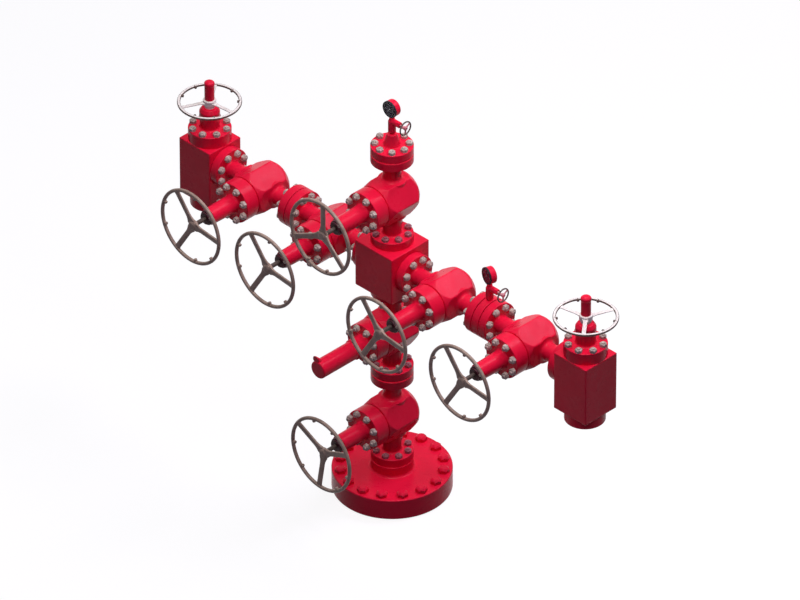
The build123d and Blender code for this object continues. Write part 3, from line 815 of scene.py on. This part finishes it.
# The painted highlight band's radius, half width, half height and height over the rim's middle
HIGHLIGHT_BAND_R, HIGHLIGHT_BAND_HALF_WIDTH, HIGHLIGHT_BAND_HALF_HEIGHT, HIGHLIGHT_BAND_RISE = 0.166, 0.0062, 0.0035, 0.0034
CHOKE_SPOKE_ANGLES = {"left": 5.0, "right": 70.0}


def outlet_shell(mouth, foot):
    """The outlet's outside, mouth and bore, open to the flow above, with its tapped holes."""
    line = [
        (0, foot + FLOW),
        (RUN_BORE_R, foot + FLOW),
        (RUN_BORE_R, mouth, 0.002),
        *recess(MOUTH_GROOVE, MOUTH_FLOOR, mouth, mouth + MOUTH_DEPTH, 0.0005, 0.0005),
        *recess(MOUTH_TRENCH, MOUTH_TRENCH, mouth, mouth + TAPPED + 0.002, 0.0003),
        (OUTLET_R, mouth, 0.003),
        (OUTLET_R, foot + 0.01),
    ]
    holes = holed_ring(*MOUTH_TRENCH, 8, STUD_CIRCLE, STRADDLE, TAPPED_R, TAPPED, mouth)
    return joined([lathe(line, capped=False), holes])


def choke_bonnet(bottom):
    face = bottom + CHOKE_FLANGE
    neck_top = face + CHOKE_NECK
    top = neck_top + GLAND
    line = [
        (CHOKE_FLANGE_R, bottom, 0.003),
        (CHOKE_FLANGE_R, face, 0.004),
        (CHOKE_NECK_R, face, 0.010),
        (CHOKE_NECK_R, neck_top, 0.003),
        (GLAND_ROOT_R, neck_top, 0.001),
        (GLAND_ROOT_R, neck_top + 0.5 * GLAND, 0.012),
        (GLAND_TIP_R, top, 0.008),
        (CHOKE_STEM_R + STEM_GAP, top, 0.001),
        (CHOKE_STEM_R + STEM_GAP, top - CHOKE_STEM_SEAT),
    ]
    return lathe(line)


def choke_wheel(hub_top, first_spoke):
    """The rim and nubs in painted shade; apart from them the lit spokes, hub and painted highlight band."""
    spokes = {"spoke": 0.022, "flare": 0.034, "flare_length": 0.022, "thickness": 0.007}
    wheel = wheel_of(0.350, 0.018, 0.0, CHOKE_HUB_R, **spokes, nub=(0.0075, 0.009), rim_height=0.012)
    hub_foot = hub_top - CHOKE_HUB
    hub_line = [
        (CHOKE_BOSS_R, hub_foot - CHOKE_BOSS, 0.002),
        (CHOKE_BOSS_R, hub_foot, 0.002),
        (CHOKE_HUB_R, hub_foot, 0.003),
        (CHOKE_HUB_R, hub_top, 0.005),
    ]
    # A bright strip on the rim's top: a painted highlight where the light falls on it
    painted_highlight_band = laid(torus(HIGHLIGHT_BAND_R, HIGHLIGHT_BAND_HALF_WIDTH, HIGHLIGHT_BAND_HALF_HEIGHT, SQUARED), UP, (0, 0, HIGHLIGHT_BAND_RISE))
    parts = [joined(wheel[:1] + wheel[4:]), joined(wheel[1:4] + [painted_highlight_band])]
    turn, place = turn_about_z(np.radians(first_spoke)), (0, 0, hub_foot + CHOKE_HUB / 2)
    cast, bright = (laid(part, turn, place) for part in parts)
    return [cast], [bright, lathe(hub_line)]


def stem_cover(low, high):
    """A tube with a low dome."""
    radius = (high[0] - low[0]) / 2
    line = [
        (0, low[2]),
        (0.92 * radius, low[2], 0.002),
        (0.92 * radius, high[2] - 0.030, 0.003),
        (radius, high[2] - 0.024, 0.004),
        (0.94 * radius, high[2] - 0.010, 0.008),
        (0.5 * radius, high[2] - 0.001, 0.016),
        (0, high[2]),
    ]
    return lathe(line, capped=False)


for side, angle in CHOKE_SPOKE_ANGLES.items():
    choke = side + "_choke"
    low, high = corners_of(choke + "_body")
    here = (middle_of(choke + "_body")[0], 0, 0)
    foot = low[2] + OUTLET
    forging = [block(high - low, foot, high[2], RUN_BORE_R), outlet_shell(low[2], foot)]
    write_piece(choke + "_forging", forging, [choke + "_body"], place=here)
    write_piece(choke + "_bonnet_turned", [choke_bonnet(high[2])], [choke + "_bonnet"], place=here)
    ring = ring_of(run_nut, 8, CHOKE_CIRCLE, STRADDLE, UP, (0, 0, high[2] + CHOKE_FLANGE))
    write_nuts(choke + "_bonnet_nuts", ring, place=here)
    turning = {"body": choke + "_drive", "place": here}
    cast, bright = choke_wheel(corners_of(choke + "_wheel")[1][2], angle)
    # The rim takes the dark finish as painted shade, and the band, spokes and hub the bright one as painted
    # light
    write_piece(choke + "_wheel_cast", cast, [choke + "_wheel"], dark_rim_and_painted_shade, "wheel_metal", **turning)
    write_piece(choke + "_wheel_bright", bright, (), choke_wheel_painted_light, "wheel_metal", **turning)
    cover = stem_cover(*corners_of(choke + "_stem_cover"))
    write_piece(choke + "_cover_drawn", [cover], [choke + "_stem_cover"], **turning)
    print(choke, "at", round(here[0], 3))


# %% [markdown]
# The tree cap closes the run above the swab valve, and a spacer flange in the right wing
# carries the second gauge. Both take a needle valve: a plain round body with a side arm, a
# hexagonal gland nut and a small wheel, under a pressure gauge.

# %% Tree cap and instrument flange
cap_low, cap_high = corners_of("tree_cap_flange")
CAP_HUB_ROOT_R, CAP_HUB_TIP_R = 0.047, 0.027
cap_face = cap_low[2] + FLANGE_THICK
cap_line = [
    *faced(cap_low[2], -1),
    (FLANGE_R, cap_face, 0.004),
    (CAP_HUB_ROOT_R, cap_face, 0.008),
    (CAP_HUB_TIP_R, cap_high[2], 0.003),
]
write_piece("tree_cap_turned", [lathe(cap_line)], ["tree_cap_flange"])
write_nuts("tree_cap_nuts", ring_of(run_nut, 8, STUD_CIRCLE, 0.0, UP, (0, 0, cap_face)))

half = (flange_high[0] - flange_low[0]) / 2
spacer = lathe(faced(-half, -1) + faced(half, 1)[::-1])
here = middle_of("instrument_flange")
here[2] = middle_of("right_inner_valve_body")[2]
write_piece("instrument_flange_turned", [spacer], ["instrument_flange"], direction=RIGHT, place=here)

# %% Needle valves
NEEDLE_R, NEEDLE_NECK_R, NIPPLE_R, NIPPLE = 0.0215, 0.0155, 0.014, 0.012
ARM_R, ARM_REACH, ARM_HEIGHT = 0.017, 0.046, 0.080
GLAND_FLATS, GLAND_LENGTH, GLAND_SEAT = 0.030, 0.016, 0.0098
NEEDLE_STEM_R = 0.006
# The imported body's own radius, from which its axis is found
NEEDLE_BODY_R = 0.0185
NEEDLE_WHEEL_REACH, NEEDLE_HUB_R, NEEDLE_HUB_HALF = 0.100, 0.011, 0.008


def needle_valve(height):
    body_line = [
        (NIPPLE_R, 0),
        (NIPPLE_R, NIPPLE, 0.001),
        (NEEDLE_R, NIPPLE, 0.003),
        (NEEDLE_R, height - 0.020, 0.006),
        (NEEDLE_NECK_R, height - 0.008, 0.004),
        (NEEDLE_NECK_R, height),
    ]
    side = hexagon_radii(GLAND_FLATS)
    arm = laid(lathe([(ARM_R, 0), (ARM_R, ARM_REACH, 0.002)], SMALL_ROUND), RIGHT, (0, 0, ARM_HEIGHT))
    nut = lathe([(side, 0), (side, GLAND_LENGTH)], NUT_ROUND, sharp=True)
    return [lathe(body_line, SMALL_ROUND), arm, laid(nut, RIGHT, (ARM_REACH, 0, ARM_HEIGHT))]


def needle_wheel():
    """The dark rim, and apart from it the painted spokes, hub and stem."""
    spokes = {"spoke": 0.009, "flare": 0.011, "flare_length": 0.009, "thickness": 0.006}
    wheel = wheel_of(0.085, 0.008, 0.0, NEEDLE_HUB_R, **spokes)
    rim, *spokes = [turned_about_z(part, -np.pi / 2) for part in wheel]
    hub_line = [(NEEDLE_HUB_R, -NEEDLE_HUB_HALF, 0.002), (NEEDLE_HUB_R, NEEDLE_HUB_HALF, 0.003)]
    start = ARM_REACH + GLAND_LENGTH - GLAND_SEAT - NEEDLE_WHEEL_REACH
    stem = lathe([(NEEDLE_STEM_R, start), (NEEDLE_STEM_R, 0)], SMALL_ROUND)
    place = (NEEDLE_WHEEL_REACH, 0, ARM_HEIGHT)
    painted = joined(spokes + [lathe(hub_line, SMALL_ROUND), stem])
    return laid(rim, RIGHT, place), laid(painted, RIGHT, place)


# %% [markdown]
# A gauge is a deep case with a rolled bezel, a dark dial sunk in it and a clear glass. The
# dial has its ticks and plain numbers, and a pointer that rests at zero.

# %% Gauge cases and dials
GAUGE_R, GAUGE_HALF = 0.049, 0.023
BEZEL, DIAL_SINK, RING_LENGTH = 0.005, 0.005, 0.010
DIAL_START, DIAL_SWEEP = np.radians(-135), np.radians(270)
# A long and a short tick's inner radius and width
LONG_TICK, SHORT_TICK, TICK_OUTER = (0.0355, 0.0007), (0.0382, 0.0003), 0.040
NUMBER_SIZE, NUMBER_CIRCLE = 0.0058, 0.0275
BOSS_R, SHANK_R, SHANK = 0.0036, 0.011, 0.030
RING_BACK, DIAL_FACE = GAUGE_HALF - RING_LENGTH, GAUGE_HALF - DIAL_SINK
gauge_case = lathe([(GAUGE_R - 0.002, -GAUGE_HALF, 0.008), (GAUGE_R - 0.001, RING_BACK, 0.0005)])
ring_line = [
    (GAUGE_R, RING_BACK, 0.001),
    (GAUGE_R, GAUGE_HALF, 0.002),
    (GAUGE_R - BEZEL, GAUGE_HALF, 0.0015),
    (GAUGE_R - BEZEL, DIAL_FACE, 0.0005),
]
gauge_ring = lathe(ring_line)


def flat_disc(radius, height, rise=0.0):
    """A thin disc whose top rises by a parabola to its middle."""
    reach = np.array([1, 0.9, 0.7, 0.4, 0.0]) * radius
    line = [(r, height + rise * (1 - (r / radius) ** 2)) for r in reach]
    foot = height - 0.0006
    return lathe([(0, foot), (radius, foot), *line], capped=False, sharp=True)


def dial_marks(height):
    """Fifty-one ticks from lower left to lower right, every fifth one longer."""
    shapes = []
    for i in range(51):
        inner, width = SHORT_TICK if i % 5 else LONG_TICK
        path = [(0, inner, height), (0, TICK_OUTER, height)]
        mark = bar(path, [width, width], [0.0005, 0.0005], (1, 0, 0), 4, 1.0)
        shapes.append(turned_about_z(mark, -(DIAL_START + DIAL_SWEEP * i / 50)))
    return shapes


def pointer(height):
    """A tapered hand with its boss, resting at the scale's start."""
    path = [(0, -0.012, height), (0, 0, height), (0, 0.036, height)]
    hand = bar(path, [0.0032, 0.0026, 0.0006], [0.0006] * 3, (1, 0, 0), 8, 0.7)
    boss = lathe([(BOSS_R, height - 0.001), (BOSS_R, height + 0.0012, 0.0008)], SMALL_ROUND)
    return [turned_about_z(hand, -DIAL_START), boss]


def plain_finish(name, colour, roughness):
    finish, tree, shader = new_finish(name)
    low, high = tuple(np.array(colour) * 0.82), tuple(np.array(colour) * 1.08)
    feed(
        tree, shader,
        Base_Color=ramp(tree, noise(tree, 180), (0.3, low), (0.7, high)),
        Roughness=spread(tree, noise(tree, 90), roughness * 0.85, roughness * 1.15),
        Specular_IOR_Level=0.1,
    )
    return finish


dial_black = plain_finish("dial_black", (0.008, 0.005, 0.012), 0.45)
dial_white = plain_finish("dial_white", (0.13, 0.12, 0.13), 0.5)
glass, tree, shader = new_finish("gauge_glass")
clear = {"Base_Color": (1, 1, 1, 1), "Transmission_Weight": 1.0, "IOR": 1.1}
feed(tree, shader, Roughness=spread(tree, noise(tree, 60), 0.01, 0.05), **clear)
print("finishes:", len(bpy.data.materials))


# %% Numbers on the dial
def number_shapes(name, height):
    """The numbers 0, 20 to 100 as one mesh, each upright beside its tick."""
    points, faces, start = [], [], 0
    for i in range(6):
        text = bpy.data.curves.new(name, "FONT")
        text.body = str(20 * i)
        text.size = NUMBER_SIZE
        text.extrude = 0.0002
        text.align_x, text.align_y = "CENTER", "CENTER"
        holder = new_object(name, text)
        bpy.context.view_layer.update()
        flat = bpy.data.meshes.new_from_object(holder.evaluated_get(bpy.context.evaluated_depsgraph_get()))
        bpy.data.objects.remove(holder)
        angle = DIAL_START + DIAL_SWEEP * i / 5
        own = np.empty(len(flat.vertices) * 3, np.float32)
        flat.vertices.foreach_get("co", own)
        place = [NUMBER_CIRCLE * np.sin(angle), NUMBER_CIRCLE * np.cos(angle), height]
        points.append(own.reshape(-1, 3) + place)
        faces += [[start + v for v in face.vertices] for face in flat.polygons]
        start += len(points[-1])
    return np.concatenate(points), faces


def write_numbers(name, points, faces):
    """The numbers' faces have any number of corners, so they are written as lists."""
    mesh = bpy.data.meshes.new(name)
    mesh.from_pydata(points.tolist(), [], faces)
    mesh.materials.append(dial_white)
    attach(new_object(name, mesh), "root")


# %% Gauges on their needle valves
GAUGE_TURNS = {"top": 0.0, "wing": np.radians(-17)}
for name, turn in GAUGE_TURNS.items():
    valve_low, valve_high = corners_of(name + "_needle_valve")
    seat = np.array([valve_low[0] + NEEDLE_BODY_R, 0, valve_low[2]])
    needle = name + "_needle_"
    shapes = needle_valve(valve_high[2] - valve_low[2])
    write_piece(needle + "valve_turned", shapes, [needle + "valve"], place=seat)
    rim, spokes = needle_wheel()
    turning = {"body": needle + "drive", "place": seat}
    write_piece(needle + "wheel_cast", [rim], [needle + "wheel"], dark_rim_and_painted_shade, "wheel_metal", **turning)
    write_piece(needle + "wheel_spokes", [spokes], (), pink_paint, "bright_steel", **turning)
    gauge = name + "_gauge"
    gauge_low, gauge_high = corners_of(gauge)
    centre = np.array([seat[0], 0, gauge_high[2] - GAUGE_R])
    facing = OUT @ turn_about_z(turn)
    shank = laid(lathe([(SHANK_R, 0), (SHANK_R, SHANK)], SMALL_ROUND), UP, (seat[0], 0, gauge_low[2]))
    write_piece(gauge + "_case", [laid(gauge_case, facing, centre), shank], [gauge])
    where = {"direction": facing, "place": centre}
    write_piece(gauge + "_ring", [gauge_ring], (), black_paint, "black_oxide", **where)
    dial = flat_disc(GAUGE_R - BEZEL - 0.0002, DIAL_FACE + 0.0008)
    write_piece(gauge + "_dial", [dial], (), dial_black, "black_oxide", **where)
    marks = dial_marks(DIAL_FACE + 0.0011) + pointer(DIAL_FACE + 0.0022)
    write_piece(gauge + "_marks", marks, (), dial_white, "bright_steel", **where)
    points, faces = number_shapes(name + "_numbers", DIAL_FACE + 0.0010)
    write_numbers(gauge + "_numbers", points @ facing + centre, faces)
    pane = flat_disc(GAUGE_R - BEZEL - 0.0003, DIAL_FACE + 0.0038, 0.0008)
    write_piece(gauge + "_glass", [pane], (), glass, "bright_steel", **where)
    print(name, "gauge at", centre)


# %% [markdown]
# The photograph's ground is pure white, so the pale floor adds light of its own to what the
# camera and reflections see of it, and keeps a faint shadow. A broad panel and a lamp above
# light the tops; that lamp casts no shadow, so low tops are as bright as high ones. A softbox
# behind gives the pale sheen on the tubes' upper sides, and weak lamps lift the front and the
# +X faces.

# %% Floor and world
FLOOR, FLOOR_DROP, WORLD_FILL = 40.0, 0.0005, 0.055


def seen_directly(tree):
    """1 for what the camera sees, straight or in a mirror or through glass, else 0."""
    path = add_node(tree, "ShaderNodeLightPath")
    either = path.outputs["Is Camera Ray"]
    for kind in ("Is Glossy Ray", "Is Transmission Ray"):
        both = add_node(tree, "ShaderNodeMath", {"operation": "MAXIMUM"})
        tree.links.new(either, both.inputs[0])
        tree.links.new(path.outputs[kind], both.inputs[1])
        either = both.outputs["Value"]
    return either


def either_colour(tree, shown, lighting, seen):
    """One colour for the light that falls on the object, another for what is seen."""
    settings = {"data_type": "RGBA"}
    made = add_node(tree, "ShaderNodeMix", settings, Factor=shown, A=(*lighting, 1), B=(*seen, 1))
    return made.outputs["Result"]


floor_mesh = bpy.data.meshes.new("floor")
floor_corners = [(-FLOOR, -FLOOR, 0), (FLOOR, -FLOOR, 0), (FLOOR, FLOOR, 0), (-FLOOR, FLOOR, 0)]
floor_mesh.from_pydata(floor_corners, [], [(0, 1, 2, 3)])
floor = new_object("floor", floor_mesh)
floor.location.z = -FLOOR_DROP
floor_pale, tree, shader = new_finish("floor_pale")
shown = seen_directly(tree)
feed(
    tree, shader,
    Roughness=0.9,
    Specular_IOR_Level=0.0,
    Base_Color=either_colour(tree, shown, (0.05, 0.05, 0.06), (0.25, 0.25, 0.25)),
    Emission_Color=(1, 1, 1, 1),
    Emission_Strength=spread(tree, shown, 0.0, 0.80, 0.0, 1.0),
)
floor_mesh.materials.append(floor_pale)

world = bpy.data.worlds.new("studio")
bpy.context.scene.world = world
world.use_nodes = True
tree = world.node_tree
shown = seen_directly(tree)
feed(
    tree, tree.nodes["Background"],
    Strength=spread(tree, shown, WORLD_FILL, 1.0, 0.0, 1.0),
    Color=either_colour(tree, shown, (0.50, 0.38, 1.0), (1, 1, 1)),
)
print("floor", 2 * FLOOR, "m wide, world fill", WORLD_FILL)

# %% Lamps
HEART = (0.0, 0.0, 1.3)
VIOLET, DEEP_VIOLET = (0.86, 0.78, 1.0), (0.80, 0.64, 1.0)


def lamp(name, place, size, power, colour=(1, 1, 1), shadow=True):
    """A round area lamp that looks at the heart of the object."""
    light = bpy.data.lights.new(name, "AREA")
    light.use_shadow = shadow
    light.shape = "DISK"
    light.size, light.energy, light.color = size, power, colour
    holder = new_object(name, light)
    holder.location = place
    holder.rotation_euler = (Vector(HEART) - Vector(place)).to_track_quat("-Z", "Y").to_euler()


lamp("sky_panel", (0.4, 0.2, 14.0), 19.0, 580)
lamp("overhead", (-0.6, 0.2, 13.3), 2.4, 620, shadow=False)
lamp("back_softbox", (2.4, 6.6, 11.0), 4.6, 500, VIOLET)
lamp("front_fill", (5.0, -5.0, 8.4), 6.0, 150, DEEP_VIOLET)
lamp("inner", (1.3, -0.1, 4.0), 1.2, 15)
print("lamps:", len(bpy.data.lights))


# %% [markdown]
# The photograph is nearly a parallel view: 45 degrees round from the front, 35.3 degrees up,
# and 188 of its pixels to a metre. A long lens from far away gives the same picture.

# %% Camera
PHOTO_WIDTH = 800
PIXELS_TO_METRE = 187.6
AZIMUTH, ELEVATION = np.radians(45.0), np.radians(35.264)
DISTANCE = 70.0
AIM = np.array([0.0299, 0.0299, 1.2154])
SENSOR = 36.0
optics = bpy.data.cameras.new("camera")
optics.sensor_width = SENSOR
optics.lens = PIXELS_TO_METRE * DISTANCE * SENSOR / PHOTO_WIDTH
optics.clip_end = 200.0
camera = new_object("camera", optics)
level = np.cos(ELEVATION)
back = np.array([np.sin(AZIMUTH) * level, -np.cos(AZIMUTH) * level, np.sin(ELEVATION)])
camera.location = Vector(AIM + DISTANCE * back)
camera.rotation_euler = Vector(-back).to_track_quat("-Z", "Y").to_euler()
bpy.context.scene.camera = camera
bpy.context.scene.view_settings.view_transform = "Standard"
print("lens", optics.lens)

# %% The end
bpy.context.view_layer.update()
